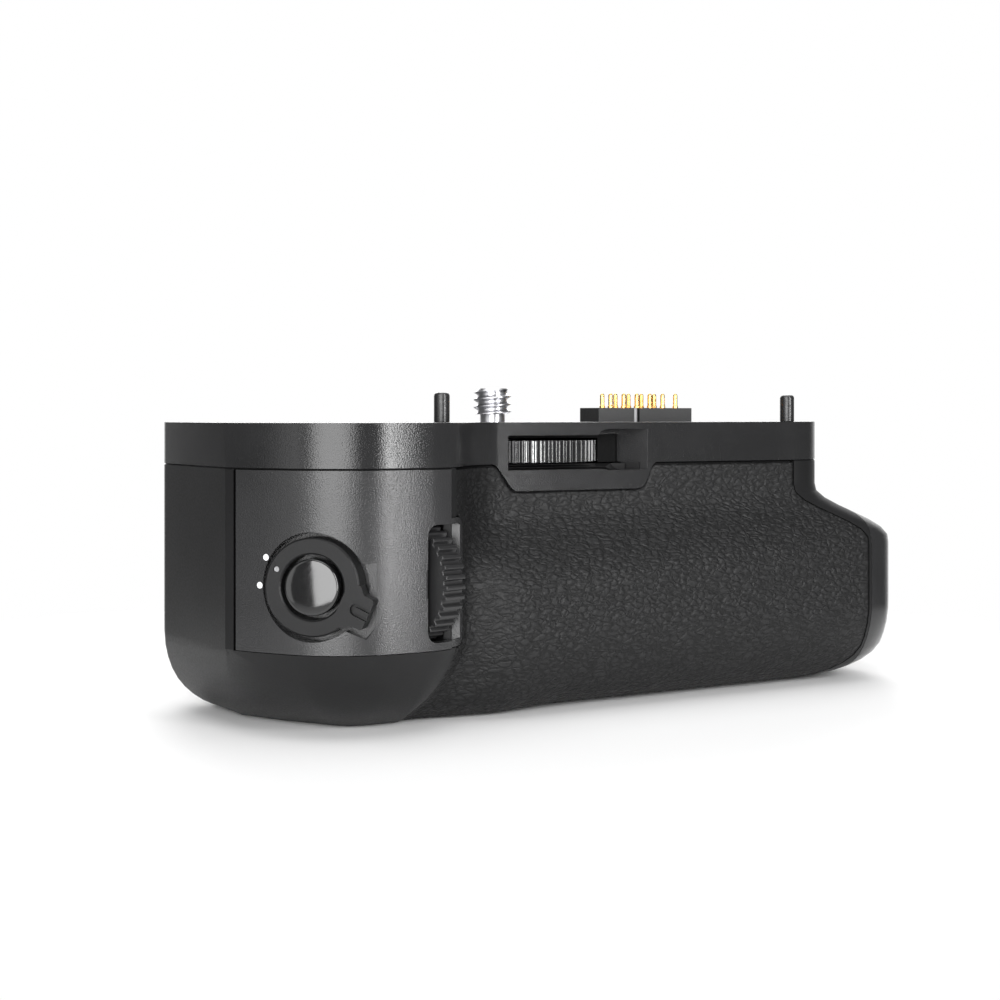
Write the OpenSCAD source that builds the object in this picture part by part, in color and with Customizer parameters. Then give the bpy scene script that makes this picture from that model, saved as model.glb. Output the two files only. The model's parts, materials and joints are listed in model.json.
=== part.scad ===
// Vertical battery grip for a mirrorless camera.
// It screws under the camera: guide pins, screw and connector stand on its top face.
// The origin is the mouth of the tripod socket, +X runs to the battery end, -Y is the front.

/* [Body] */
// Screw axis to the flat end beside the shutter
left_reach = 51.5; // [50:0.5:55]
// Screw axis to the battery end of the top cover
top_right_reach = 61; // [60:0.1:63.5]
// Reach of the battery end past the top cover
shoulder_reach = 13.7; // [13.2:0.1:16.5]
// Height below the top face at which the shoulder starts
shoulder_down = 11.5; // [10:0.5:13]
// Height over which the shoulder runs out
shoulder_drop = 9; // [7:0.5:10]
// Screw axis to the front of the top cover
front_depth = 16.7; // [16.4:0.1:17.2]
// Screw axis to the rear face
rear_depth = 20; // [19.6:0.1:23]
// Height of the top face over the base
body_h = 46; // [45:0.5:50]
// Height of the band round the top cover
cover_h = 6.6; // [6.4:0.1:7.4]
// Wall of the casing
wall = 2.4; // [2:0.1:3]
// Radius of the upright corners at the rear
rear_r = 4; // [2:0.5:6]
// Radius of the upright front corner at the battery end
end_r = 10; // [8:0.5:11]

/* [Shutter column] */
// Screw axis forward to the crease beside the end face
crease_y = 10.3; // [9:0.1:11]
// Bend radius of the face beside the crease
side_face_r = 50; // [40:1:80]
// Bend radius of the corner that carries the shutter
shutter_face_r = 17; // [15:0.5:19]
// Bend radius of the front of the column
front_face_r = 60; // [40:1:90]
// Bend radius of the flank beside the finger bulge
flank_r = 10; // [8:0.5:11]
// Height of the bevel under the column
bevel_h = 12.5; // [11:0.5:13]
// How far the bevel draws in
bevel_in = 12.5; // [11:0.5:13]
// How far the round under the end face draws in
end_face_in = 9.5; // [8:0.5:10.5]

/* [Finger bulge] */
// Swell of the bulge beside the column
swell_left = 7; // [5:0.5:8]
// Swell of the bulge at the battery end
swell_right = 4; // [3.8:0.1:5]
// Height at which the swell starts beside the column
swell_top = 32; // [31:0.5:34]
// Rise of that height towards the battery end
swell_rise = 4; // [3:0.5:5]
// Height over which the swell grows
swell_drop = 12; // [9:0.5:12]
// Height of the round under the bulge
base_round = 14; // [12:0.5:14]
// How far that round draws in
base_in = 13; // [11:0.5:14]
// Thickness of the rubber skin
skin_t = 1; // [0.8:0.1:1.2]

/* [Shutter release] */
// Height of the shutter and the front dial over the base
control_z = 22.3; // [21.5:0.1:23.5]
// Depth of the recess round the lock ring
recess_d = 3.4; // [3:0.1:3.6]
// Radius of the recess
recess_r = 7.95; // [7.8:0.05:8.4]
// Outer radius of the lock ring
ring_r = 7.2; // [6.8:0.1:7.4]
// Radius of the ring's bore
ring_bore_r = 4.75; // [4.55:0.05:5.2]
// Reach of the lock lever from the ring's axis
lever_reach = 9.3; // [8.8:0.1:9.6]
// Width of the lock lever
lever_w = 4.8; // [4:0.1:5.2]
// Depth of the pocket that the lever sweeps
pocket_d = 2.6; // [2.2:0.1:2.8]
// Turn of the lock ring
lock_turn = 29; // [20:1:32]
// Radius of the shutter button
button_r = 4.15; // [3.8:0.05:4.25]
// Travel of the shutter button
button_travel = 1; // [0.6:0.1:1.2]
// Thickness of the shutter panel
panel_t = 1.6; // [1.2:0.1:1.8]

/* [Dials] */
// Radius of the front dial
front_dial_r = 9; // [8.5:0.1:9.4]
// Radius of the rear dial
rear_dial_r = 8; // [7.5:0.1:8.6]
// Width of a dial
dial_w = 4; // [3.4:0.1:4.4]
// How far a dial stands out of its window
dial_proud = 2.6; // [1.8:0.1:3]
// Ribs round a dial
dial_ribs = 36; // [24:2:44]
// Radius of a dial's axle
dial_axle_r = 1.4; // [1:0.1:1.8]

/* [Camera screw] */
// Outer radius of the screw's thread
screw_r = 3.175; // [3:0.025:3.2]
// Height of the screw over the top face
screw_h = 5.6; // [5:0.1:6.5]
// Radius of the screw's neck
neck_r = 2.1; // [1.8:0.1:2.4]
// Height of the neck over the top face
neck_h = 1.3; // [1:0.1:1.8]
// Radius of the thumb wheel
wheel_r = 17.6; // [17.2:0.1:17.9]
// Thickness of the thumb wheel
wheel_h = 3.6; // [3.2:0.1:3.8]
// Ribs round the thumb wheel
wheel_ribs = 72; // [48:4:96]

/* [Camera fit] */
// Distance of the guide pins in front of the screw axis
pin_y = 11.7; // [11:0.1:12.2]
// Screw axis to the guide pin beside the column
pin_left = 15.9; // [15:0.1:20]
// Screw axis to the guide pin at the battery end
pin_right = 53.5; // [50:0.1:55]
// Radius of the guide pins
pin_r = 1.25; // [1:0.05:1.5]
// Height of the guide pins over the top face
pin_h = 4.7; // [4:0.1:5.5]
// Screw axis to the near end of the connector
plug_x = 18.9; // [18.7:0.1:21]
// Length of the connector
plug_l = 19.6; // [19:0.1:21]
// Width of the connector
plug_w = 6; // [5.5:0.1:7]
// Height of the connector over the top face
plug_h = 2.4; // [2:0.1:3]
// Spacing of the contact pins along the connector
contact_pitch = 2.75; // [2.5:0.05:2.8]
// Height of the contact pins over the connector
contact_h = 2.55; // [2:0.05:3]
// Radius of a contact pin
contact_r = 0.5; // [0.35:0.05:0.55]

/* [Battery] */
// Length of the battery pack
pack_l = 47; // [44:0.5:47.5]
// Width of the battery pack
pack_w = 34; // [32:0.1:34.2]
// Height of the battery pack
pack_h = 15; // [13:0.1:15.2]
// Wall of the battery tray
tray_wall = 0.9; // [0.8:0.1:1]
// Thickness of the end cap
cap_l = 9.5; // [8:0.5:10]

/* [Hidden] */
$fn = 64;
// Clearances: of sliding pieces, of turning pieces, of shafts and at a cut's open end
slide_gap = 0.3;
turn_gap = 0.35;
shaft_gap = 0.05;
seam = 0.12;
open = 1;
// Heights of the seam under the cover and of the top of the casing's groove
seam_z = body_h - cover_h;
groove = 0.3;
// Normal directions round the column, in degrees to the left of straight ahead
crease_a = 68;
corner_a = 54;
face_a = 2;
flank_a = -4;
skin_a = -35;
valley_a = -56;
shutter_a = 43;
front_dial_a = -17;
panel_left_a = 65.5;
panel_right_a = -27;
rear_a = 180;
end_a = -90;
// Steep and flat end of the bevel's arc, measured from upright
bevel_a0 = 20;
bevel_a1 = 70;
// The bevel draws the column's corner in along its normal, and the face beside the crease grows
corner_draw = 1.12;
side_growth = 2.15;
least_r = 1.8;
// Place where the valley beside the column meets the bulge
valley_x = -8.5;
// Rounds of the base at the rear and at the battery end
rear_round = 6;
rear_in = 5;
end_round = 6.5;
end_in = 13;
// The bulge is fuller at the foot of the valley
foot_fill = 3.2;
foot_run = 12;

// Plain curves
function soft_step(t) = let(u = min(max(t, 0), 1)) u * u * (3 - 2 * u);
function round_inset(z, h, d) = let(u = min(max((h - z) / h, 0), 1)) d * (1 - sqrt(1 - u * u));
function face_normal(a) = [-sin(a), -cos(a)];
function bevel_inset(z) =
  let(s0 = sin(bevel_a0))
  let(s1 = sin(bevel_a1))
  let(drop = min(max((bevel_h - z) / bevel_h, 0), 1))
  let(a = asin(s0 + drop * (s1 - s0)))
  bevel_in * (cos(bevel_a0) - cos(a)) / (cos(bevel_a0) - cos(bevel_a1));

// Plan of the column: a chain of arcs, found by the direction that the wall faces
function arc_step(r, d, a0, a) = max(r - d, least_r) * (face_normal(a) - face_normal(a0));
function corner_point(d) = [-left_reach, -crease_y] - corner_draw * d * face_normal(corner_a)
  + side_face_r * (face_normal(corner_a) - face_normal(crease_a));
function column_point(a, d) =
  a >= corner_a
    ? corner_point(d) + (side_face_r + side_growth * d) * (face_normal(a) - face_normal(corner_a))
  : a >= face_a ? corner_point(d) + arc_step(shutter_face_r, d, corner_a, a)
  : a >= flank_a ? column_point(face_a, d) + arc_step(front_face_r, d, face_a, a)
  : column_point(flank_a, d) + arc_step(flank_r, d, flank_a, a);
column_angles = [crease_a, 61, corner_a, 48, 42, 36, 30, 24, 18, 12, 7, face_a, -1, flank_a,
  -11, -18, -25, -30, skin_a];
skin_angles = [skin_a, -42, -49, valley_a];

// Front of the bulge, and the battery end, at a height
function end_x(z) = top_right_reach
  + shoulder_reach * soft_step((body_h - shoulder_down - z) / shoulder_drop)
  - round_inset(z, end_round, end_in);
bulge_l = top_right_reach + shoulder_reach - end_r - valley_x;
function along(x) = min(max((x - valley_x) / bulge_l, 0), 1);
function bulge_y(x, z) =
  let(k = along(x))
  let(rise = soft_step((swell_top + swell_rise * k - z) / swell_drop))
  let(fill = foot_fill * (1 - soft_step((x - valley_x) / foot_run)))
  -front_depth - (swell_left + (swell_right - swell_left) * k) * rise
  + round_inset(z, base_round, base_in - fill);
function bezier(p, q, r, s, t) =
  p * pow(1 - t, 3) + q * 3 * t * pow(1 - t, 2) + r * 3 * t * t * (1 - t) + s * pow(t, 3);
valley_steps = 6;
bulge_steps = 13;
function skin_line(z) =
  let(d = bevel_inset(z))
  let(p = column_point(valley_a, d))
  let(s = [valley_x, bulge_y(valley_x, z)])
  let(pull = norm(s - p) / 3)
  let(dip = pull * (1 - 0.8 * d / bevel_in))
  let(end = end_x(z) - end_r)
  concat(
    [for (a = skin_angles) column_point(a, d)],
    [for (i = [1:valley_steps - 1])
      bezier(p, p + dip * [cos(valley_a), -sin(valley_a)], s - [pull, 0], s, i / valley_steps)],
    [for (i = [0:bulge_steps])
      let(x = valley_x + (end - valley_x) * i / bulge_steps)
      [x, bulge_y(x, z)]]);
// Points moved inwards along the line's own normals
function moved_in(line, d) =
  [for (i = [0:len(line) - 1])
    let(v = line[min(i + 1, len(line) - 1)] - line[max(i - 1, 0)])
    line[i] + d * [-v.y, v.x] / norm(v)];
function corner_arc(c, r, a0, a1, n) = [for (i = [0:n]) c + r * face_normal(a0 + (a1 - a0) * i / n)];
// The seat of the skin: it rises with the round of the base so that the skin keeps its thickness
function seat_z(z) = max(z - skin_t * min(max(1 - z / base_round, 0), 1), 0);
function skin_seat(z) = moved_in(skin_line(seat_z(z)), skin_t);

// Outline of the body at a height, with the whole front or with the skin's seat sunk in
function left_side(z) =
  let(d = bevel_inset(z))
  let(x = -left_reach + round_inset(z, bevel_h, end_face_in) + rear_r)
  let(y = rear_depth - round_inset(z, rear_round, rear_in) - rear_r)
  concat(
    corner_arc([x, y], rear_r, rear_a, -end_a, 5),
    [for (a = column_angles) column_point(a, d)]);
function right_side(z) =
  let(x = end_x(z))
  let(y0 = bulge_y(x - end_r, z))
  let(y1 = rear_depth - round_inset(z, rear_round, rear_in) - rear_r)
  concat(
    corner_arc([x - end_r, y0 + end_r], end_r, 0, end_a, 8),
    corner_arc([x - rear_r, y1], rear_r, end_a, -rear_a, 5));
function backwards(line) = [for (i = [len(line) - 1:-1:0]) line[i]];
function inner_points(line) = [for (i = [1:len(line) - 2]) line[i]];
function full_outline(z) = concat(left_side(z), inner_points(skin_line(z)), right_side(z));
function seat_outline(z) = concat(left_side(z), skin_seat(z), right_side(z));

low_rings = 10;
high_rings = 20;
levels = concat(
  [for (k = [0:low_rings - 1]) bevel_h * pow(k / low_rings, 2)],
  [for (k = [0:high_rings]) bevel_h + (seam_z - groove - bevel_h) * k / high_rings]);

// Lofts: the wall between stacked outlines that have the same number of points
function ring_points(rings, heights) =
  [for (i = [0:len(rings) - 1]) for (p = rings[i]) [p.x, p.y, heights[i]]];
// From the point named turned, the outline runs back, and so do the diagonals
function wall_faces(n, m, turned) = [for (i = [0:m - 1]) for (j = [0:n - 1])
  let(a = i * n + j)
  let(b = i * n + (j + 1) % n)
  let(c = b + n)
  let(d = a + n)
  each j < turned ? [[a, d, c], [a, c, b]] : [[a, d, b], [d, c, b]]];
// A body whose ends fan out from a hub that sees the whole outline
hub = [-25, 0];
module body_loft(rings, heights) {
  n = len(rings[0]);
  m = len(rings) - 1;
  low = n * (m + 1);
  ends = [for (j = [0:n - 1])
    let(k = (j + 1) % n)
    each [[j, k, low], [m * n + k, m * n + j, low + 1]]];
  points = concat(ring_points(rings, heights), [[hub.x, hub.y, heights[0]], [hub.x, hub.y, heights[m]]]);
  polyhedron(points, concat(wall_faces(n, m, n), ends), convexity = 8);
}
// An outline just under the base, in line with the lowest facets
under = 0.02;
function run_under(low, next) =
  [for (i = [0:len(low) - 1]) low[i] - (next[i] - low[i]) * under / levels[1]];
// A skin between an outer line and an inner line that runs back along it
module skin_loft(rings, heights) {
  n = len(rings[0]);
  m = len(rings) - 1;
  ends = [for (j = [0:n / 2 - 2])
    let(a = n - 1 - j)
    each [[j, j + 1, a - 1], [j, a - 1, a],
      [m * n + j, m * n + a - 1, m * n + j + 1], [m * n + j, m * n + a, m * n + a - 1]]];
  polyhedron(ring_points(rings, heights), concat(wall_faces(n, m, n / 2 - 1), ends), convexity = 8);
}

// Corners rounded off, each with its own radius
function unit(v) = v / norm(v);
function fillet(a, b, c, r) =
  let(u = unit(a - b))
  let(v = unit(c - b))
  let(half = acos(u * v) / 2)
  let(centre = b + unit(u + v) * r / sin(half))
  let(p = b + u * r / tan(half) - centre)
  let(q = b + v * r / tan(half) - centre)
  r == 0 ? [b] : [for (i = [0:4]) centre + r * unit(p * (4 - i) + q * i)];
function rounded(line, radii) =
  let(n = len(line))
  [for (i = [0:n - 1]) each fillet(line[(i + n - 1) % n], line[i], line[(i + 1) % n], radii[i])];

// Shapes that repeat
module face_at(p, z, a) {
  translate([p.x, p.y, z]) rotate([90, 0, -a]) children();
}
module box_between(low, high) {
  translate(low) cube(high - low);
}
module rounded_slab(w, l, r, h) {
  linear_extrude(h)
    polygon(concat(
      corner_arc([w / 2 - r, l / 2 - r], r, -90, -180, 6),
      corner_arc([-w / 2 + r, l / 2 - r], r, 180, 90, 6),
      corner_arc([-w / 2 + r, -l / 2 + r], r, 90, 0, 6),
      corner_arc([w / 2 - r, -l / 2 + r], r, 0, -90, 6)));
}
rib_d = 0.7;
module ribbed_disc(r, h, ribs) {
  step = 360 / ribs;
  shape = [[0, -rib_d], [0.12, 0], [0.5, 0], [0.62, -rib_d]];
  linear_extrude(h)
    polygon([for (k = [0:ribs - 1]) for (s = shape)
      let(a = (k + s[0]) * step)
      (r + s[1]) * [cos(a), sin(a)]]);
}

// Places of the controls
shutter_p = column_point(shutter_a, 0);
front_dial_p = column_point(front_dial_a, 0);
rear_dial_in = 11.5;
rear_lift = 1.5;
rear_dial_x = -left_reach + rear_dial_in;
rear_dial_p = [rear_dial_x, rear_depth];
rear_control_z = control_z + rear_lift;
button_run = 11;
button_pitch = 9;
button_up = 8;
button_down = 3;
button_x = rear_dial_x + button_run;
button_spots = [[button_x, button_up], [button_x + button_pitch, button_up],
  [button_x + button_pitch / 2, -button_down]];
rear_button_r = 2.7;
rear_button_travel = 0.6;
rear_button_proud = 0.8;
rear_flange = 0.6;
rear_flange_h = 1;
rear_edge = 0.3;
cup_wall = 1.2;
lever_a = -25;
lever_foot = 1;
lever_r = 0.5;
pocket_reach = lever_reach + 1.2;
pocket_slope = 1;
cup_r = pocket_reach + pocket_slope + cup_wall;
stem_r = 1.5;
axle_over = 2;

// Strip of the column's wall between two directions
function strip_angles(a0, a1) = concat([a0], [for (a = column_angles) if (a < a0 && a > a1) a], [a1]);
module wall_strip(a0, a1, t, over) {
  list = strip_angles(a0, a1);
  polygon(concat(
    [for (a = list) column_point(a, 0) + over * face_normal(a)],
    [for (i = [len(list) - 1:-1:0]) column_point(list[i], t)]));
}
module panel_block(over, gap) {
  translate([0, 0, bevel_h - gap])
    linear_extrude(seam_z - groove - bevel_h + 2 * gap)
      wall_strip(panel_left_a + gap, panel_right_a - gap, panel_t, over);
}
module column_prism(over) {
  translate([0, 0, bevel_h])
    linear_extrude(seam_z - groove - bevel_h)
      polygon(moved_in(full_outline(seam_z), -over));
}
module shutter_cup(over) {
  intersection() {
    column_prism(over);
    face_at(shutter_p, control_z, shutter_a)
      translate([0, 0, -recess_d - cup_wall]) cylinder(r = cup_r, h = recess_d + cup_wall + 2 * open);
  }
}
// The panel's edge runs out round the window of the front dial
module panel_tab(over, gap) {
  rim = window_rim + gap;
  intersection() {
    column_prism(over);
    at_front_dial()
      translate([front_flare / 2, 0, -lip - gap])
        rounded_slab(window_w + front_flare + 2 * rim, window_h(front_dial_r) + 2 * rim, window_r + rim,
          lip + gap + 2 * open);
  }
}

// Recess of the shutter: a round, and a shallow pocket with a sloped wall for the lever's sweep
pocket_low = lever_w / 2 + 1.2;
pocket_high = lever_w / 2 + 0.5;
module pocket_plan(r) {
  a0 = lever_a - asin(pocket_low / r);
  a1 = lever_a + lock_turn + asin(pocket_high / r);
  rim = [for (i = [0:5]) r * [cos(a0 + (a1 - a0) * i / 5), sin(a0 + (a1 - a0) * i / 5)]];
  foot = ring_bore_r * [cos(lever_a), sin(lever_a)] + pocket_low * [sin(lever_a), -cos(lever_a)];
  turned = lever_a + lock_turn;
  head = ring_bore_r * [cos(turned), sin(turned)] + pocket_high * [-sin(turned), cos(turned)];
  polygon(rounded(concat([foot], rim, [head]), [0, 1, 0, 0, 0, 0, 1, 0]));
}
module shutter_recess() {
  face_at(shutter_p, control_z, shutter_a) {
    translate([0, 0, -recess_d]) cylinder(r = recess_r, h = recess_d + 3 * open);
    intersection() {
      translate([0, 0, -pocket_d])
        linear_extrude(pocket_d + 2 * open) pocket_plan(pocket_reach + pocket_slope);
      translate([0, 0, -pocket_d])
        cylinder(r1 = pocket_reach, r2 = pocket_reach + 2 * pocket_slope, h = 2 * pocket_d);
    }
  }
}

// A dial's window, its axle's bore and the dial itself, seen from outside the wall
window_w = dial_w + 1.8;
window_r = 1.6;
window_rim = 0.9;
front_flare = 2.2;
lip = 2;
thumb_relief_r = 2.5;
thumb_relief_d = 0.5;
function window_h(r) = 2 * r - 0.6;
// The window of a dial, whose right wall slopes out by the flare, and the room behind it
module dial_window(r, flare) {
  high = 2 * open + dial_proud;
  wide = window_w / 2 + flare;
  intersection() {
    translate([flare / 2, 0, -lip - open])
      rounded_slab(window_w + flare, window_h(r), window_r, lip + open + high);
    rotate([90, 0, 0])
      linear_extrude(2 * r, center = true)
        polygon([[-window_w / 2, -lip - open], [window_w / 2, -lip - open], [wide, 0], [wide, high],
          [-window_w / 2, high]]);
  }
  translate([-window_w / 2, -r - turn_gap, dial_proud - 2 * r - turn_gap])
    cube([window_w, 2 * r + 2 * turn_gap, 2 * r + turn_gap - dial_proud - lip]);
}
module dial_axle_cut(r) {
  translate([0, 0, dial_proud - r])
    rotate([0, 90, 0])
      cylinder(r = dial_axle_r, h = window_w + 2 * axle_over, center = true);
}
module dial_block(r) {
  w = window_w + 2 * axle_over + 2;
  translate([-w / 2, -r - 2, dial_proud - 2 * r - 2])
    cube([w, 2 * r + 4, 2 * r + 2]);
}
module dial_wheel(r) {
  translate([-dial_w / 2, 0, dial_proud - r])
    rotate([0, 90, 0])
      difference() {
        ribbed_disc(r, dial_w, dial_ribs);
        translate([0, 0, -open]) cylinder(r = dial_axle_r + shaft_gap, h = dial_w + 2 * open);
      }
}
module at_front_dial() {
  face_at(front_dial_p, control_z, front_dial_a) children();
}
module at_rear_dial() {
  face_at(rear_dial_p, rear_control_z, rear_a) children();
}
module at_rear_button(i) {
  face_at([button_spots[i].x, rear_depth], control_z + button_spots[i].y, rear_a) children();
}

// The battery bay, its tray and the cap
cap_x = top_right_reach + shoulder_reach - cap_l;
bay_y = rear_depth - 1.4 - pack_w / 2 - tray_wall - slide_gap;
bay_half = pack_w / 2 + tray_wall + slide_gap;
bay_z = 10.5;
tray_floor = 1;
bay_h = tray_floor + pack_h + 2 * slide_gap + 0.3;
contact_t = 2;
bay_x = cap_x - pack_l - 2 * tray_wall - 2 * slide_gap - contact_t;
latch_w = 8;
latch_h = 5.6;
latch_travel = 4;
latch_d = 2;
latch_r = 1.2;
latch_rib = 0.6;
latch_rib_pitch = 1.3;
latch_rib_d = 0.4;
latch_edge = 0.8;
latch_z = bay_z + bay_h / 2;

// The board and the plate under the cover
board_z = seam_z - 5.6;
board_t = 1.6;
board_x = plug_x - 2;
board_l = 36;
board_half = 12;
chassis_t = 1.2;
chassis_z = body_h - cover_h - 1.4;
chassis_half = wheel_r - 0.2;
chassis_front = front_depth - skin_t - 1.9;
chassis_rear = rear_depth - wall - 1.2;
wheel_z = chassis_z + chassis_t + slide_gap;
wheel_top = wheel_z + wheel_h;

// The tongue of the cover, and the recess that bares the wheel
tongue_x0 = -9;
tongue_x1 = 21.3;
tongue_slant0 = 3.3;
tongue_slant1 = 2.1;
tongue_down = 4.3;
tongue_t = 1.2;
recess_x0 = -6.7;
recess_x1 = 17.3;
recess_flare = 2.7;
recess_z = wheel_z - slide_gap;
recess_up = 0.8;
tongue_r = 1.8;
tongue_neck_r = 1.2;
module tongue_block(gap) {
  low = seam_z - tongue_down - gap;
  high = seam_z + gap;
  x0 = tongue_x0 - gap;
  x1 = tongue_x1 + gap;
  wing = 2 * tongue_neck_r;
  translate([0, -front_depth + tongue_t + gap, 0])
    rotate([90, 0, 0])
      linear_extrude(tongue_t + 2 * gap + skin_t)
        polygon(rounded(
          [[x0 - wing, high], [x0, high], [x0 + tongue_slant0, low], [x1 - tongue_slant1, low],
            [x1, high], [x1 + wing, high], [x1 + wing, high + open], [x0 - wing, high + open]],
          [0, tongue_neck_r - gap, tongue_r + gap, tongue_r + gap, tongue_neck_r - gap, 0, 0, 0]));
}
// The wheel's recess in the front, with a sloped sill and a scoop for the finger
scoop_d = 4;
scoop_over = 1;
scoop_r = 1.2;
sill_drop = 0.8;
module wheel_recess() {
  high = wheel_top + recess_up;
  slope = norm([recess_flare, scoop_d]);
  translate([0, 0, recess_z])
    linear_extrude(high - recess_z)
      polygon([[recess_x0, -front_depth - open], [recess_x0, -front_depth + scoop_d],
        [recess_x1, -front_depth + scoop_d], [recess_x1, -front_depth - open]]);
  face_at([recess_x1 + recess_flare / 2, -front_depth + scoop_d / 2], (recess_z + high) / 2,
    atan2(scoop_d, recess_flare))
    rounded_slab(slope + scoop_r, high - recess_z + 2 * scoop_over, scoop_r, 2 * scoop_d);
  translate([recess_x0, 0, 0])
    rotate([90, 0, 90])
      linear_extrude(recess_x1 - recess_x0)
        polygon([[-chassis_front, recess_z + open], [-chassis_front, recess_z],
          [-front_depth, recess_z - sill_drop], [-front_depth - open, recess_z - sill_drop],
          [-front_depth - open, recess_z + open]]);
}

// Seats of what stands on the top face
bush_r = 5;
pin_deep = 4;
pin_shank_r = 0.6 * pin_r;
pin_relief = 0.1;
pin_foot = pin_r - pin_shank_r;
pin_seat = pin_foot + 0.15;
pin_tip_r = 0.5;
plug_y = -0.7;

// The base: socket, screws
socket_r = 6;
socket_h = 8.5;
socket_bore = screw_r + 0.075;
socket_depth = 7;
case_screw_r = 1.1;
case_head_r = 2.1;
case_head_h = 1.5;
case_screw_l = 8;
case_spots = [[-29, -4], [-29, 10], [56, -1], [56, 10]];
thumb_x = 3;
thumb_w = 26;
thumb_h = 22;
thumb_t = 1.6;
thumb_proud = 0.7;
thumb_r = 4;
thumb_groove_w = 1.2;
thumb_groove_d = 0.35;
thumb_groove_pitch = 4;
thumb_z = control_z + 1;

module chamber() {
  translate([0, 0, bevel_h])
    linear_extrude(seam_z - bevel_h + open)
      intersection() {
        polygon(moved_in(full_outline(seam_z), wall));
        translate([-left_reach, -2 * left_reach]) square([left_reach + bay_x - wall, 4 * left_reach]);
      }
}
module casing_blocks() {
  at_front_dial() dial_block(front_dial_r);
  at_rear_dial() dial_block(rear_dial_r);
}
module casing_cuts() {
  difference() {
    chamber();
    casing_blocks();
  }
  panel_tab(open, seam);
  at_front_dial() dial_window(front_dial_r, front_flare);
  at_front_dial() dial_axle_cut(front_dial_r);
  at_rear_dial() dial_window(rear_dial_r, 0);
  at_rear_dial() dial_axle_cut(rear_dial_r);
  panel_block(open, seam);
  shutter_cup(open);
  for (i = [0:len(button_spots) - 1])
    at_rear_button(i)
      translate([0, 0, -wall - open]) cylinder(r = rear_button_r + shaft_gap, h = wall + 2 * open);
  box_between([bay_x, bay_y - bay_half, bay_z], [cap_x + open, bay_y + bay_half, bay_z + bay_h]);
  box_between([board_x - slide_gap, -board_half - slide_gap, board_z],
    [board_x + board_l + slide_gap, board_half + slide_gap, seam_z + open]);
  box_between([-chassis_half, -chassis_front, chassis_z], [chassis_half, chassis_rear, seam_z + open]);
  translate([0, 0, -open]) cylinder(r = socket_r, h = socket_h + open);
  for (p = case_spots) {
    translate([p.x, p.y, -open]) cylinder(r = case_head_r + shaft_gap, h = case_head_h + 0.4 + open);
    translate([p.x, p.y, 0]) cylinder(r = case_screw_r, h = case_head_h + 0.4 + case_screw_l);
  }
  tongue_block(seam);
  wheel_recess();
  face_at([thumb_x, rear_depth], thumb_z, rear_a)
    translate([0, 0, thumb_proud - thumb_t]) rounded_slab(thumb_w, thumb_h, thumb_r, thumb_t + open);
}
module lower_casing() {
  color("#2c2c2e")
    difference() {
      // The loft runs past the base, the top and the cap, and one box trims it
      intersection() {
        body_loft(
          concat([run_under(seat_outline(0), seat_outline(levels[1]))],
            [for (i = [1:len(levels) - 1]) seat_outline(levels[i])],
            [moved_in(seat_outline(seam_z), 2 * groove)]),
          concat([-under], [for (i = [1:len(levels) - 1]) levels[i]], [seam_z + groove]));
        box_between([-2 * left_reach, -2 * left_reach, 0], [cap_x, 2 * left_reach, seam_z]);
      }
      casing_cuts();
    }
}

module grip_skin() {
  color("#222223")
    difference() {
      skin_loft([for (z = levels) concat(skin_line(z), backwards(skin_seat(z)))], levels);
      tongue_block(seam);
      panel_tab(open, seam);
    }
}

module thumb_skin() {
  color("#222223")
    face_at([thumb_x, rear_depth], thumb_z, rear_a)
      translate([0, 0, thumb_proud - thumb_t])
        difference() {
          rounded_slab(thumb_w, thumb_h, thumb_r, thumb_t);
          for (k = [-2:2])
            translate([k * thumb_groove_pitch, 0, thumb_t - thumb_groove_d])
              rounded_slab(thumb_groove_w, thumb_h - 1.5 * thumb_r, 0.4 * thumb_groove_w, open);
        }
}

module top_plate() {
  color("#303032")
    difference() {
      union() {
        translate([0, 0, seam_z]) linear_extrude(cover_h) polygon(full_outline(seam_z));
        intersection() {
          tongue_block(0);
          translate([-left_reach, -front_depth, 0]) cube([2 * left_reach, front_depth, body_h]);
        }
      }
      translate([0, 0, recess_z]) cylinder(r = wheel_r + turn_gap, h = wheel_top + slide_gap - recess_z);
      wheel_recess();
      cylinder(r = bush_r, h = body_h + open);
      for (x = [-pin_left, pin_right])
        translate([x, -pin_y, body_h - pin_deep]) {
          cylinder(r = pin_shank_r, h = pin_deep);
          translate([0, 0, pin_deep - pin_seat])
            cylinder(r1 = pin_shank_r, r2 = pin_shank_r + pin_seat + open, h = pin_seat + open);
        }
      box_between([plug_x, plug_y - plug_w / 2, seam_z - open],
        [plug_x + plug_l, plug_y + plug_w / 2, body_h + open]);
    }
}
module shutter_panel() {
  color("#38383a")
    difference() {
      union() {
        panel_block(0, 0);
        panel_tab(0, 0);
        shutter_cup(0);
      }
      shutter_recess();
      face_at(shutter_p, control_z, shutter_a)
        translate([0, 0, -recess_d - 2 * cup_wall]) cylinder(r = stem_r + shaft_gap, h = 3 * cup_wall);
      at_front_dial() dial_window(front_dial_r, front_flare);
      at_front_dial()
        translate([-window_w / 2 + thumb_relief_r / 2, 0, -thumb_relief_d])
          cylinder(r = thumb_relief_r, h = thumb_relief_d + open);
    }
}

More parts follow.
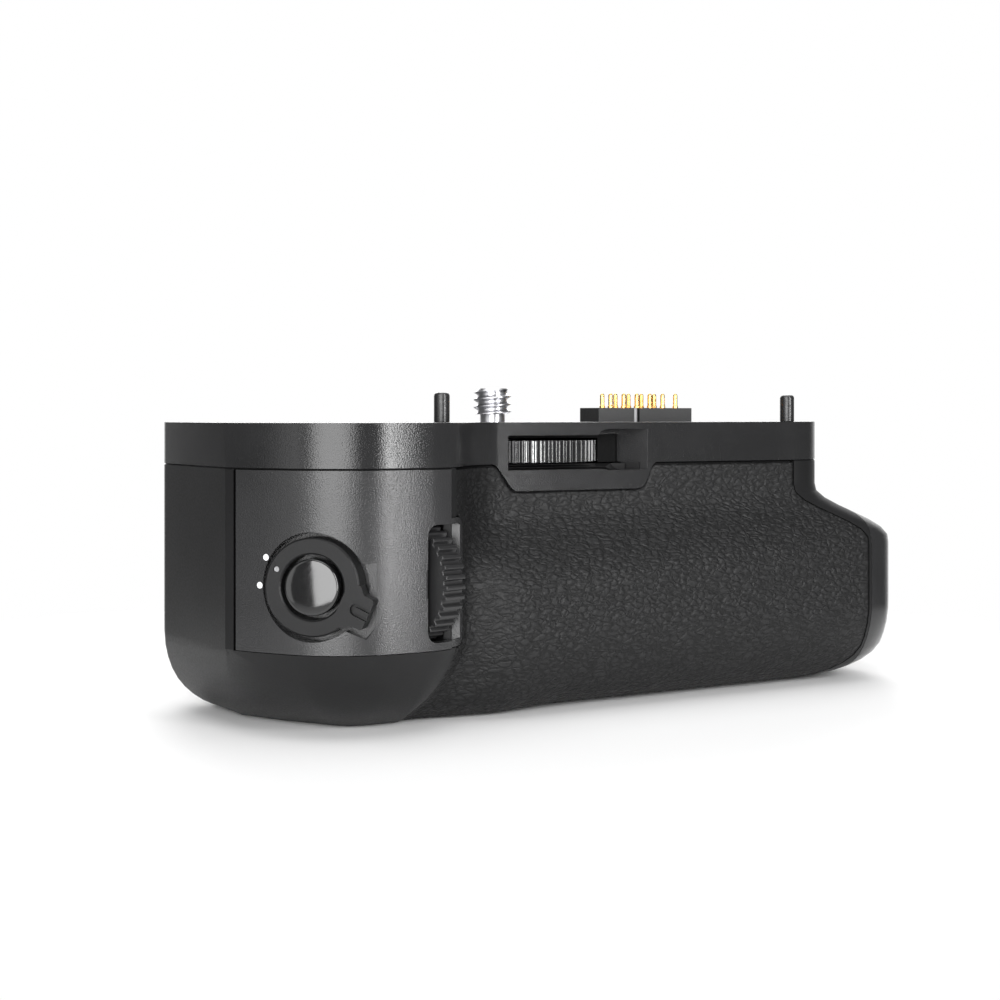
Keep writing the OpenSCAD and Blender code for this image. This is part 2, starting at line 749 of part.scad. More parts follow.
// Shutter release, on its own axis: floor of the recess at zero
ring_lift = 0.15;
ring_h = recess_d - 0.3;
button_top = recess_d + 0.3;
button_edge = 0.4;
button_skirt = 0.8;
button_dish = 0.5;
stem_l = cup_wall + 0.6;
cap_h = 1.6;
spring_wire = 0.15;
spring_r = 2.2;
module on_recess_floor() {
  face_at(shutter_p, control_z, shutter_a) translate([0, 0, -recess_d]) children();
}
module shutter_button() {
  color("#18181a")
    on_recess_floor()
      rotate_extrude()
        polygon(concat(
          [[0, -stem_l], [stem_r, -stem_l], [stem_r, button_top - cap_h],
            [button_r - button_skirt, button_top - cap_h], [button_r - button_skirt, button_travel + 0.2],
            [button_r, button_travel + 0.2]],
          [for (i = [0:4]) [button_r - button_edge, button_top - button_edge]
            + button_edge * [cos(i * 22.5), sin(i * 22.5)]],
          [for (i = [3:-1:0]) let(k = i / 4) [k * button_r, button_top - button_dish * (1 - k * k)]]));
}
spring_turns = 2.5;
module button_spring() {
  h = button_top - cap_h - 2 * spring_wire;
  n = spring_turns * 12;
  path = [for (i = [0:n])
    [spring_r * cos(i * 30), spring_r * sin(i * 30), spring_wire + h * i / n]];
  ring = [for (i = [0:n])
    [for (k = [0:5])
      path[i] + spring_wire * (cos(k * 60) * [cos(i * 30), sin(i * 30), 0] + sin(k * 60) * [0, 0, 1])]];
  points = [for (r = ring) for (p = r) p];
  sides = [for (i = [0:n - 1]) for (k = [0:5])
    let(j = (k + 1) % 6)
    each [[i * 6 + k, (i + 1) * 6 + k, (i + 1) * 6 + j], [i * 6 + k, (i + 1) * 6 + j, i * 6 + j]]];
  color("silver")
    on_recess_floor()
      polyhedron(points, concat([[5, 4, 3, 2, 1, 0], [for (k = [0:5]) n * 6 + k]],
        [for (f = sides) [f[0], f[2], f[1]]]));
}
ring_edge = 0.25;
rib_w = 0.7;
rib_groove_w = 1.8;
rib_groove_d = 0.6;
rib_foot = ring_r + 0.1;
mark_r = 0.45;
mark_d = 0.3;
lever_z = recess_d - pocket_d + ring_lift;
module lock_ring() {
  color("#242426")
    on_recess_floor()
      difference() {
        union() {
          translate([0, 0, ring_lift])
            rotate_extrude()
              polygon([[ring_bore_r, 0], [ring_r, 0], [ring_r, ring_h - ring_edge],
                [ring_r - ring_edge, ring_h], [ring_bore_r + ring_edge, ring_h],
                [ring_bore_r, ring_h - ring_edge]]);
          rotate(lever_a)
            translate([0, 0, lever_z]) linear_extrude(ring_lift + ring_h - lever_z) lever_plan();
        }
        cylinder(r = ring_bore_r, h = recess_d + open);
        rotate(lever_a) rib_groove();
        rotate(lever_a)
          translate([-(ring_r + ring_bore_r) / 2, 0, ring_lift + ring_h - mark_d])
            cylinder(r = mark_r, h = open);
      }
}
module lever_plan() {
  w = lever_w / 2;
  foot = w + lever_foot;
  x0 = ring_r - 0.6 * lever_foot;
  x1 = ring_r + 0.4 * lever_foot;
  polygon(rounded(
    [[ring_bore_r, -foot], [x0, -foot], [x1, -w], [lever_reach, -w],
      [lever_reach, w], [x1, w], [x0, foot], [ring_bore_r, foot]],
    [0, 0, lever_r, lever_r, lever_r, lever_r, 0, 0]));
}
// A groove that is open at the lever's tip, with a rib standing in it
module rib_groove() {
  translate([0, 0, ring_lift + ring_h - rib_groove_d])
    difference() {
      union() {
        translate([rib_foot, 0, 0]) cylinder(r = rib_groove_w / 2, h = rib_groove_d + open);
        translate([rib_foot, -rib_groove_w / 2, 0])
          cube([lever_reach, rib_groove_w, rib_groove_d + open]);
      }
      translate([rib_foot - 0.2, -rib_w / 2, -open]) cube([lever_reach, rib_w, 2 * open + rib_groove_d]);
    }
}
switch_w = 7;
switch_h = 4.4;
module shutter_switch() {
  color("#6a6a6c")
    on_recess_floor()
      difference() {
        translate([-switch_w / 2, -switch_w / 2, -cup_wall - switch_h])
          cube([switch_w, switch_w, switch_h]);
        translate([0, 0, -stem_l - button_travel - 2 * slide_gap])
          cylinder(r = stem_r + slide_gap, h = button_travel + stem_l);
      }
}

// Dials and rear buttons
module front_dial() {
  color("#1c1c1e") at_front_dial() dial_wheel(front_dial_r);
}
module front_dial_axle() {
  color("silver") at_front_dial() dial_axle_cut(front_dial_r);
}
module rear_dial() {
  color("#1c1c1e") at_rear_dial() dial_wheel(rear_dial_r);
}
module rear_dial_axle() {
  color("silver") at_rear_dial() dial_axle_cut(rear_dial_r);
}
module rear_button(i) {
  flange_r = rear_button_r + rear_flange;
  flange_z = -wall - seam;
  color("#1c1c1e")
    at_rear_button(i)
      rotate_extrude()
        polygon([[0, flange_z - rear_flange_h], [flange_r, flange_z - rear_flange_h], [flange_r, flange_z],
          [rear_button_r, flange_z], [rear_button_r, rear_button_proud - rear_edge],
          [rear_button_r - rear_edge, rear_button_proud], [0, rear_button_proud]]);
}
module focus_button() {
  rear_button(0);
}
module hold_button() {
  rear_button(1);
}
module menu_button() {
  rear_button(2);
}
rear_board_y = rear_depth - wall - seam - rear_flange_h - rear_button_travel - 1.4;
module rear_board() {
  xs = [for (p = button_spots) p.x];
  top = control_z + max([for (p = button_spots) p.y]) + 4;
  color("darkgreen")
    box_between([min(xs) - 3, rear_board_y - 1.2, bevel_h], [max(xs) + 4, rear_board_y, top]);
  color("silver")
    for (p = button_spots)
      face_at([p.x, rear_board_y], control_z + p.y, rear_a) cylinder(r = 1.8, h = 1);
}

// Camera screw and its wheel
module attachment_wheel() {
  color("#1a1a1c")
    translate([0, 0, wheel_z])
      difference() {
        ribbed_disc(wheel_r, wheel_h, wheel_ribs);
        translate([0, 0, -open]) cylinder(r = neck_r, h = wheel_h + 2 * open);
        translate([0, 0, wheel_h - 0.8])
          rotate_extrude()
            polygon([[bush_r + 1, 0], [wheel_r - 3, 0], [wheel_r - 3, 1 + open], [bush_r + 1, 1 + open]]);
      }
}
module camera_screw() {
  color("silver")
    rotate_extrude()
      polygon([[0, chassis_z + 0.1], [neck_r, chassis_z + 0.1], [neck_r, body_h + neck_h - 0.4],
        [screw_r, body_h + neck_h], [screw_r, body_h + screw_h - 0.7], [screw_r - 0.7, body_h + screw_h],
        [0, body_h + screw_h]]);
}
module wheel_bush() {
  color("silver")
    translate([0, 0, wheel_top + slide_gap])
      difference() {
        cylinder(r = bush_r, h = body_h - wheel_top - slide_gap);
        translate([0, 0, -open]) cylinder(r = neck_r + shaft_gap, h = body_h);
      }
}
module chassis_plate() {
  color("silver")
    difference() {
      box_between([-chassis_half, -chassis_front, chassis_z],
        [chassis_half, chassis_rear, chassis_z + chassis_t]);
      translate([0, 0, chassis_z - open]) cylinder(r = neck_r + shaft_gap, h = chassis_t + 2 * open);
      box_between([board_x - slide_gap, -board_half - slide_gap, 0],
        [2 * left_reach, board_half + slide_gap, body_h]);
    }
}

// Camera fit
module guide_pins() {
  color("#1a1a1c")
    for (x = [-pin_left, pin_right])
      translate([x, -pin_y, body_h - pin_deep])
        rotate_extrude()
          polygon(concat(
            [[0, 0], [pin_shank_r, 0], [pin_shank_r, pin_deep + pin_relief - pin_foot],
              [pin_r, pin_deep + pin_relief]],
            [for (i = [0:4]) [pin_r - pin_tip_r, pin_deep + pin_h - pin_tip_r]
              + pin_tip_r * [cos(i * 22.5), sin(i * 22.5)]],
            [[0, pin_deep + pin_h]]));
}
key_w = 1.2;
key_d = 0.8;
key_x = plug_x + plug_l / 2 - 1.9;
contact_x = plug_x + plug_l / 2 - 2.5 * contact_pitch + 0.6;
contact_rows = [[contact_x, -1.3, 6], [contact_x, 1.3, 5]];
module contact_posts(r, z0, z1) {
  for (row = contact_rows) for (k = [0:row[2] - 1])
    translate([row[0] + k * contact_pitch, plug_y + row[1], z0]) cylinder(r = r, h = z1 - z0, $fn = 24);
}
module connector_block() {
  color("#141416")
    difference() {
      box_between([plug_x, plug_y - plug_w / 2, board_z + board_t],
        [plug_x + plug_l, plug_y + plug_w / 2, body_h + plug_h]);
      contact_posts(contact_r, board_z, body_h + plug_h + open);
      translate([key_x - key_w / 2, plug_y - plug_w / 2 - open, body_h])
        cube([key_w, open + key_d, plug_h + open]);
    }
}
module connector_pins() {
  color("gold") contact_posts(contact_r, board_z + board_t, body_h + plug_h + contact_h);
}
chip_w = 6;
chip_t = 1;
chip_spots = [[board_l - 10, -4], [board_l - 12, 6]];
module circuit_board() {
  color("darkgreen")
    box_between([board_x, -board_half, board_z], [board_x + board_l, board_half, board_z + board_t]);
  color("#202020")
    for (p = chip_spots)
      translate([board_x + p.x, p.y, board_z + board_t]) cube([chip_w, chip_w, chip_t]);
}

// Base
module tripod_socket() {
  color("silver")
    difference() {
      cylinder(r = socket_r, h = socket_h);
      translate([0, 0, -open]) cylinder(r = socket_bore, h = socket_depth + open);
    }
}
module case_screws() {
  color("#404042")
    for (p = case_spots)
      translate([p.x, p.y, 0.4])
        difference() {
          union() {
            cylinder(r = case_head_r, h = case_head_h);
            cylinder(r = case_screw_r, h = case_head_h + case_screw_l);
          }
          for (a = [0, 90])
            rotate(a) translate([-1.3, -0.3, -open]) cube([2.6, 0.6, open + 0.7]);
        }
}

// Battery, tray and cap
tray_x0 = bay_x + contact_t + slide_gap;
pack_x = tray_x0 + tray_wall;
pack_z = bay_z + slide_gap + tray_floor;
floor_rim = 7;
plate_half = 8;
plate_in = 3;
blade_t = 0.6;
blade_w = 1.2;
blade_in = 5;
blade_pitch = 3.6;
module battery_contacts() {
  color("#505052")
    box_between([bay_x, bay_y - plate_half, bay_z + plate_in],
      [bay_x + contact_t - blade_t, bay_y + plate_half, bay_z + bay_h - plate_in]);
  color("gold")
    for (k = [-1.5, -0.5, 0.5, 1.5])
      translate([bay_x + contact_t - blade_t, bay_y + k * blade_pitch - blade_w / 2, bay_z + blade_in])
        cube([blade_t, blade_w, bay_h - 2 * blade_in]);
}
module battery_tray() {
  y0 = bay_y - bay_half + slide_gap;
  y1 = bay_y + bay_half - slide_gap;
  z0 = bay_z + slide_gap;
  rail_h = tray_floor + pack_h * 0.6;
  color("#3a3a3c")
    difference() {
      box_between([tray_x0, y0, z0], [cap_x + seam, y1, z0 + rail_h]);
      box_between([pack_x, y0 + tray_wall, z0 + tray_floor], [pack_x + pack_l, y1 - tray_wall, body_h]);
      box_between([tray_x0 - open, bay_y - plate_half - slide_gap, z0 + tray_floor],
        [pack_x + open, bay_y + plate_half + slide_gap, body_h]);
      translate([pack_x + pack_l / 2, bay_y, z0 - open])
        rounded_slab(pack_l - 2 * floor_rim, pack_w - 2 * floor_rim, floor_rim / 2, 3 * open);
    }
}
module battery() {
  color("#48484a")
    translate([pack_x + pack_l / 2, bay_y, pack_z])
      rounded_slab(pack_l, pack_w, 2, pack_h);
}
module end_cap() {
  color("#2c2c2e")
    difference() {
      intersection() {
        body_loft([for (z = levels) full_outline(z)], levels);
        box_between([cap_x + seam, -2 * left_reach, -open], [2 * left_reach, 2 * left_reach, body_h]);
      }
      face_at([top_right_reach + shoulder_reach, bay_y], latch_z, end_a)
        translate([0, 0, -latch_d])
          rounded_slab(latch_w + latch_travel + 2 * slide_gap, latch_h + 2 * slide_gap, latch_r + slide_gap,
            latch_d + open);
    }
}
module tray_latch() {
  color("#1c1c1e")
    face_at([top_right_reach + shoulder_reach, bay_y - latch_travel / 2], latch_z, end_a)
      translate([0, 0, -latch_d])
        difference() {
          rounded_slab(latch_w, latch_h, latch_r, latch_d);
          for (k = [-2:2])
            translate([k * latch_rib_pitch, 0, latch_d - latch_rib_d + open / 2])
              cube([latch_rib, latch_h - 2 * latch_edge, open], center = true);
        }
}

lower_casing();
top_plate();
shutter_panel();
grip_skin();
thumb_skin();
shutter_button();
button_spring();
lock_ring();
shutter_switch();
front_dial();
front_dial_axle();
rear_dial();
rear_dial_axle();
focus_button();
hold_button();
menu_button();
rear_board();
attachment_wheel();
camera_screw();
wheel_bush();
chassis_plate();
guide_pins();
connector_block();
connector_pins();
circuit_board();
tripod_socket();
case_screws();
battery_contacts();
battery_tray();
battery();
end_cap();
tray_latch();
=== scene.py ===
# %% [markdown]
# # A camera battery grip, dressed in Blender
# The grip is already designed as solids: casing, cover, dials, buttons, screw, battery.
# Here each solid gets the look of the real piece. We start from the fixed frame, which
# holds every solid at its true place and size, in metres, and we never move it.

import json
import math

import bmesh
import bpy
from mathutils import Matrix, Vector, noise
from mathutils.bvhtree import BVHTree


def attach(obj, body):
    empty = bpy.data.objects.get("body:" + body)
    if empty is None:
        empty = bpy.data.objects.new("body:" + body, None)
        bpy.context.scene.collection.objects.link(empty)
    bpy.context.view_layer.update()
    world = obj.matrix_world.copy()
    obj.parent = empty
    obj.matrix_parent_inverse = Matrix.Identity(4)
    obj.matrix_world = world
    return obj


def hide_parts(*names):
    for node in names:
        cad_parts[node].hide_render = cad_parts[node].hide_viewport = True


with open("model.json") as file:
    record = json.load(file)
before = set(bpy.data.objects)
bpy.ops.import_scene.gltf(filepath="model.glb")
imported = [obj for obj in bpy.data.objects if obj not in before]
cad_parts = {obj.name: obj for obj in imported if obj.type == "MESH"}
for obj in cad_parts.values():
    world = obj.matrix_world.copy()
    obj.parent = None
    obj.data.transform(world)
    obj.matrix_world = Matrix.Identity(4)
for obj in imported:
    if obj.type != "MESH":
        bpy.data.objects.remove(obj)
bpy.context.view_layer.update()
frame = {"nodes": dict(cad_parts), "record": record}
MM = 0.001
UP = Vector((0, 0, 1))
NODES = frame["nodes"]
BEHAVIOUR = frame["record"]["behaviour"]
BODY_OF = {n: b for b, nodes in BEHAVIOUR["bodies"].items() for n in nodes}
JOINTS = {j["name"]: j for j in BEHAVIOUR["joints"]}

# %% [markdown]
# ## Finishes
# Every finish is a small node tree on Object coordinates, so a pattern stays where it is
# on the piece. Moulded plastic is never one flat colour: a spark-eroded mould leaves a
# fine grain, which scatters the highlight, and the tone drifts a little over the part.
# One function makes the tree, and each plastic on the grip is a call with its own values.

# %% The tree that most finishes share
FINISHES = {}
DRIFT = 60
DETAIL = 2.0
TONE_ENDS = (0.35, 0.65)


def start_finish(name):
    finish = bpy.data.materials.new(name + "_finish")
    finish.use_nodes = True
    FINISHES[name] = finish
    tree = finish.node_tree
    place = tree.nodes.new("ShaderNodeTexCoord")
    return tree, tree.nodes["Principled BSDF"], place.outputs["Object"]


def add_noise(tree, place, scale):
    pattern = tree.nodes.new("ShaderNodeTexNoise")
    pattern.inputs["Scale"].default_value = scale
    pattern.inputs["Detail"].default_value = DETAIL
    tree.links.new(place, pattern.inputs["Vector"])
    return pattern.outputs["Fac"]


def add_range(tree, value, low, high, start=0.3, end=0.7):
    spread = tree.nodes.new("ShaderNodeMapRange")
    sockets = {"From Min": start, "From Max": end, "To Min": low, "To Max": high}
    for socket, number in sockets.items():
        spread.inputs[socket].default_value = number
    tree.links.new(value, spread.inputs["Value"])
    return spread.outputs["Result"]


def add_tones(tree, value, dark, light):
    ramp = tree.nodes.new("ShaderNodeValToRGB")
    for stop, spot, tone in zip(ramp.color_ramp.elements, TONE_ENDS, (dark, light)):
        stop.position = spot
        stop.color = (*tone, 1)
    tree.links.new(value, ramp.inputs["Fac"])
    return ramp.outputs["Color"]


def add_bump(tree, height, depth):
    bump = tree.nodes.new("ShaderNodeBump")
    bump.inputs["Strength"].default_value = 1.0
    bump.inputs["Distance"].default_value = depth
    tree.links.new(height, bump.inputs["Height"])
    return bump.outputs["Normal"]


def moulded(name, dark, light, rough, grain=3200, depth=0.012, gloss=0.5, metal=0.0, coat=0.0):
    """A grained finish: two tones, a range of roughness, grains to the metre, depth in mm."""
    tree, shader, place = start_finish(name)
    drift = add_noise(tree, place, DRIFT)
    fine = add_noise(tree, place, grain)
    tree.links.new(add_tones(tree, drift, dark, light), shader.inputs["Base Color"])
    tree.links.new(add_range(tree, fine, *rough), shader.inputs["Roughness"])
    tree.links.new(add_bump(tree, fine, depth * MM), shader.inputs["Normal"])
    shader.inputs["Specular IOR Level"].default_value = gloss
    shader.inputs["Metallic"].default_value = metal
    shader.inputs["Coat Weight"].default_value = coat


def grey(value):
    """A grey with a trace of blue, as black plastic has."""
    return (value, value, value * 1.03)


# %% The plastics and metals
moulded("casing_plastic", grey(0.010), grey(0.013), (0.34, 0.44), gloss=0.2)
moulded("cover_plastic", grey(0.015), grey(0.021), (0.13, 0.19), 5200, 0.028, gloss=0.5)
moulded("panel_plastic", grey(0.022), grey(0.030), (0.18, 0.27), 5200, 0.04, gloss=0.5)
moulded("control_plastic", grey(0.012), grey(0.018), (0.28, 0.40), gloss=0.55)
moulded("gloss_black", grey(0.008), grey(0.012), (0.06, 0.10), depth=0.0005, gloss=0.85)
moulded("pin_black", grey(0.015), grey(0.021), (0.24, 0.36), gloss=0.6)
moulded("connector_plastic", grey(0.015), grey(0.021), (0.40, 0.55), gloss=0.7)
moulded("inner_plastic", grey(0.030), grey(0.038), (0.45, 0.60))
moulded("steel", grey(0.50), grey(0.58), (0.26, 0.38), 1500, 0.004, metal=1.0)
moulded("screw_steel", grey(0.62), grey(0.70), (0.28, 0.36), 1500, 0.002, metal=1.0)
moulded("painted_shade_steel", grey(0.008), grey(0.012), (0.50, 0.62), 2500, 0.004, gloss=0.2)
moulded("fastener", grey(0.10), grey(0.14), (0.30, 0.42), 2500, 0.004, metal=1.0)
moulded("gold", (0.90, 0.55, 0.18), (0.96, 0.62, 0.23), (0.22, 0.32), 2500, 0.003, metal=1.0)
moulded("wheel_plastic", grey(0.017), grey(0.025), (0.14, 0.22), gloss=1.0, coat=0.15)
# Painted shade, for the walls of the recess behind the wheel.
moulded("painted_shade_plastic", grey(0.002), grey(0.004), (0.60, 0.75), gloss=0.1)
# Light grey: the real paint in the ring's mark, and a painted highlight in the key groove.
moulded("mark_paint_and_painted_highlight", grey(0.26), grey(0.34), (0.30, 0.42))
moulded("board", (0.006, 0.070, 0.030), (0.010, 0.095, 0.042), (0.30, 0.42), 900, 0.01)
moulded("white_paint", grey(0.78), grey(0.84), (0.45, 0.55), depth=0.003)
print("moulded and metal finishes:", len(FINISHES))

# %% [markdown]
# The skin of the grip is soft rubber with a leather grain: small pads between creases. A
# cell pattern could be used as it is, but a straight net looks printed. So it is stretched
# along the grip and bent by a slow noise. The creases get painted shade: their colour is
# darker than the pads. Near the top and to the right the real grain is flatter, so the bump
# is weaker there.

# %% The rubber finish
CREASES = (620, 1150, 1200)
CREASE_BEND = (1.6, 1.6, 1.6)
BEND_SCALE = 0.7
CREASE_WIDTH = 0.3
CREASE_DEPTH = 0.09 * MM
# Painted shade: the colour of the creases is darker than that of the pads.
PAINTED_CREASE_SHADE = grey(0.0065)
PAD_TONE = grey(0.0135)
RUBBER_GRAIN = 5200
RUBBER_ROUGH = (0.42, 0.56)
RUBBER_GLOSS = 0.26
FADE_UP = (1.0, 0.6, 0.028, 0.038)
FADE_RIGHT = (1.0, 0.95, 0.0, 0.05)


def rubber(name):
    tree, shader, place = start_finish(name)
    stretch = tree.nodes.new("ShaderNodeVectorMath")
    stretch.operation = "MULTIPLY"
    stretch.inputs[1].default_value = CREASES
    tree.links.new(place, stretch.inputs[0])
    bend = tree.nodes.new("ShaderNodeTexNoise")
    bend.inputs["Scale"].default_value = BEND_SCALE
    tree.links.new(stretch.outputs["Vector"], bend.inputs["Vector"])
    bent = tree.nodes.new("ShaderNodeVectorMath")
    bent.operation = "MULTIPLY_ADD"
    bent.inputs[1].default_value = CREASE_BEND
    tree.links.new(bend.outputs["Color"], bent.inputs[0])
    tree.links.new(stretch.outputs["Vector"], bent.inputs[2])
    cells = tree.nodes.new("ShaderNodeTexVoronoi")
    cells.feature = "DISTANCE_TO_EDGE"
    cells.inputs["Scale"].default_value = 1.0
    tree.links.new(bent.outputs["Vector"], cells.inputs["Vector"])
    crease = add_range(tree, cells.outputs["Distance"], 0, 1, 0.0, CREASE_WIDTH)
    fine = add_noise(tree, place, RUBBER_GRAIN)
    # Painted shade: the creases take a darker colour than the pads, on top of their bump.
    tones = add_tones(tree, crease, PAINTED_CREASE_SHADE, PAD_TONE)
    tree.links.new(tones, shader.inputs["Base Color"])
    tree.links.new(add_range(tree, fine, *RUBBER_ROUGH), shader.inputs["Roughness"])
    spot = tree.nodes.new("ShaderNodeSeparateXYZ")
    tree.links.new(place, spot.inputs["Vector"])
    depth = tree.nodes.new("ShaderNodeMath")
    depth.operation = "MULTIPLY"
    tree.links.new(add_range(tree, spot.outputs["Z"], *FADE_UP), depth.inputs[0])
    tree.links.new(add_range(tree, spot.outputs["X"], *FADE_RIGHT), depth.inputs[1])
    normal = add_bump(tree, crease, CREASE_DEPTH)
    tree.links.new(depth.outputs["Value"], normal.node.inputs["Strength"])
    tree.links.new(normal, shader.inputs["Normal"])
    shader.inputs["Specular IOR Level"].default_value = RUBBER_GLOSS


rubber("grip_rubber")
print("rubber finish made")

# %% [markdown]
# The frame names a finish for every solid, so each solid simply gets that one. Only the
# chassis plate departs from it: the steel behind the wheel gets painted shade, a nearly
# black finish, or it would shine out of the dark recess.

# %% Every solid gets its finish
SLOT_OF = {}
for name, solid in NODES.items():
    SLOT_OF[name] = solid.data.materials[0].name
    solid.data.materials[0] = FINISHES[SLOT_OF[name]]
# Painted shade: the plate behind the wheel is coloured nearly black instead of steel.
NODES["chassis_plate"].data.materials[0] = FINISHES["painted_shade_steel"]
print("finishes:", len(FINISHES))

# %% [markdown]
# ## Softening the moulded edges
# No moulded edge is sharp: it has a small round that catches a line of light. The solids
# come as loose triangles, so a copy is welded, its flat faces are joined again, and each
# sharp edge gets a narrow bevel. The copy then stands for the solid, on the same body.

# %% Helpers that make a piece
WELD = 0.0005 * MM
FLAT = math.radians(0.4)
SHARP = math.radians(32)
ROUND_STEPS = 2


def merged_copy(node):
    bm = bmesh.new()
    bm.from_mesh(NODES[node].data)
    bmesh.ops.remove_doubles(bm, verts=bm.verts, dist=WELD)
    bmesh.ops.dissolve_limit(bm, angle_limit=FLAT, verts=bm.verts, edges=bm.edges)
    return bm


def soften(bm, width):
    edges = [e for e in bm.edges if e.is_manifold and e.calc_face_angle() > SHARP]
    bmesh.ops.bevel(bm, geom=edges, offset=width, segments=ROUND_STEPS, profile=0.5,
                    affect="EDGES", material=-1, clamp_overlap=True)


def make_piece(bm, name, finish, body, stands_for=(), sharp=SHARP):
    mesh = bpy.data.meshes.new(name)
    bm.to_mesh(mesh)
    bm.free()
    mesh.materials.append(finish)
    mesh.shade_smooth()
    mesh.set_sharp_from_angle(angle=sharp)
    piece = bpy.data.objects.new(name, mesh)
    bpy.context.scene.collection.objects.link(piece)
    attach(piece, body)
    if stands_for:
        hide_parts(*stands_for)
    print(name, len(mesh.polygons), "faces")
    return piece


def weigh(piece):
    """Lets the large flat faces set the normals, so that they look flat up to their rounds."""
    piece.modifiers.new("weighted", "WEIGHTED_NORMAL").keep_sharp = True
    shown = piece.evaluated_get(bpy.context.evaluated_depsgraph_get()).data
    normals = [corner.vector.copy() for corner in shown.corner_normals]
    piece.modifiers.clear()
    piece.data.normals_split_custom_set(normals)
    return piece


def dress(node, width, finish=""):
    """A softened copy that stands for a solid. The width of its rounds is in mm."""
    slot = SLOT_OF[node]
    bm = merged_copy(node)
    soften(bm, width * MM)
    look = FINISHES[finish or slot]
    return weigh(make_piece(bm, node + "_shell", look, BODY_OF[node], [node]))


def surface_of(name):
    """The surface of a piece, to be asked for its nearest point or for the hit of a ray."""
    shown = bpy.context.evaluated_depsgraph_get()
    return BVHTree.FromObject(bpy.data.objects[name], shown)


print("edges sharper than", round(math.degrees(SHARP)), "degrees get a round")


# %% [markdown]
# The wall of the shutter column is a ring of flat strips, and shading would show them.
# All pieces of that wall share the plan of the top cover. So the plan is read from the
# cover once, and each corner of a wall face gets the normal of the smooth wall there. A
# long straight stretch keeps its own normal to its very end, so that it stays flat.

# %% The smooth wall behind the strips
STRAIGHT = 8 * MM
UPRIGHT = 0.01
SAME_CURVE = 0.94
SAME_STRIP = 0.985


def wall_plan():
    """Stretches of the cover's side: two ends in plan, and the smooth normal at each end."""
    bm = merged_copy("top_plate")
    top = max(v.co.z for v in bm.verts)
    sides = []
    for edge in bm.edges:
        if all(abs(v.co.z - top) < WELD for v in edge.verts):
            for face in edge.link_faces:
                if abs(face.normal.z) < UPRIGHT:
                    sides.append((*[v.co.xy.copy() for v in edge.verts], face.normal.xy.copy()))
    bm.free()
    plan = []
    for a, b, normal in sides:
        ends = []
        for end in (a, b):
            near = [s for s in sides if min((s[0] - end).length, (s[1] - end).length) < WELD]
            near = [(p, q, n) for p, q, n in near if n.dot(normal) > SAME_CURVE]
            flat = [n for p, q, n in near if (p - q).length > STRAIGHT]
            ends.append(sum(flat or [n for p, q, n in near], Vector((0, 0))).normalized())
        plan.append((a, b, ends[0], ends[1]))
    return plan


PLAN = wall_plan()


def wall_normal(point):
    best = None
    for a, b, na, nb in PLAN:
        t = min(max((point - a).dot(b - a) / (b - a).length_squared, 0), 1)
        gap = (a.lerp(b, t) - point).length
        if best is None or gap < best[0]:
            best = (gap, na.lerp(nb, t).normalized())
    return best[1]


def smooth_wall(piece):
    mesh = piece.data
    normals = [corner.vector.copy() for corner in mesh.corner_normals]
    for face in mesh.polygons:
        if abs(face.normal.z) < UPRIGHT:
            for corner in face.loop_indices:
                point = mesh.vertices[mesh.loops[corner].vertex_index].co.xy
                smooth = wall_normal(point).to_3d()
                if smooth.dot(face.normal) > SAME_STRIP:
                    normals[corner] = smooth
    mesh.normals_split_custom_set(normals)


print("wall plan:", len(PLAN), "strips")

# %% [markdown]
# Now the shells themselves. A large moulding has wider rounds than a button or a screw
# head, so each piece has its own width, in mm. Pieces that share the column's wall also
# get its smooth normals.

# %% Shells with rounded edges
WALL_PIECES = (("lower_casing", 0.2, ""), ("top_plate", 0.25, "cover_plastic"),
               ("shutter_panel", 0.15, ""))
ROUNDS = {
    "front_dial": 0.15, "rear_dial": 0.15, "connector_block": 0.2, "tray_latch": 0.15,
    "thumb_skin": 0.2, "case_screws": 0.08, "battery_tray": 0.15, "battery": 0.4,
    "focus_button": 0.12, "hold_button": 0.12, "menu_button": 0.12,
}
for node, width, finish in WALL_PIECES:
    smooth_wall(dress(node, width, finish=finish))
for node, width in ROUNDS.items():
    dress(node, width)
dress("end_cap", 0.2, finish="cover_plastic")
dress("lock_ring", 0.14, finish="casing_plastic")
dress("attachment_wheel", 0.12, finish="wheel_plastic")

# %% [markdown]
# Behind the wheel the cover is open to the inside, and no light gets out of that gap. The
# walls of the recess that face the wheel therefore get painted shade, a dull and nearly
# black finish. The top face, which lies against the camera, has the casing's coarser grain.

# %% Painted shade on the walls of the wheel recess
RECESS_LOW = (-6.8 * MM, -16.6 * MM, 36.8 * MM)
RECESS_HIGH = (20.5 * MM, -8.0 * MM, 44.0 * MM)
SCOOP_TURN = -0.5
FRONT_TURN = 0.2
LEVEL = 0.99
PAINTED_SHADE = 1
TOP = 2
cover = bpy.data.objects["top_plate_shell"].data
cover.materials.append(FINISHES["painted_shade_plastic"])
cover.materials.append(FINISHES["casing_plastic"])
shaded = 0
for face in cover.polygons:
    inside = all(a < v < b for v, a, b in zip(face.center, RECESS_LOW, RECESS_HIGH))
    if inside and face.normal.x > SCOOP_TURN and face.normal.y < FRONT_TURN:
        # Painted shade: these faces of the recess take the nearly black finish.
        face.material_index = PAINTED_SHADE
        shaded += 1
    elif face.normal.z > LEVEL:
        face.material_index = TOP
print("shaded faces:", shaded)

# %% [markdown]
# ## The leather-grained skin
# The rubber is moulded against an etched tool, so its surface is a net of fine wrinkles
# round small pads. A bump map alone would leave the rim and the highlights smooth, so the
# wrinkles are real here: the skin is meshed finely, smoothed, and pressed in along the
# borders of a cell pattern. The cells lie along the grip, and they bend with a slow noise.
# Its seed is set, because without one each run would bend them in another way. The side
# that is glued to the casing stays plain, and its fine mesh is thinned again.

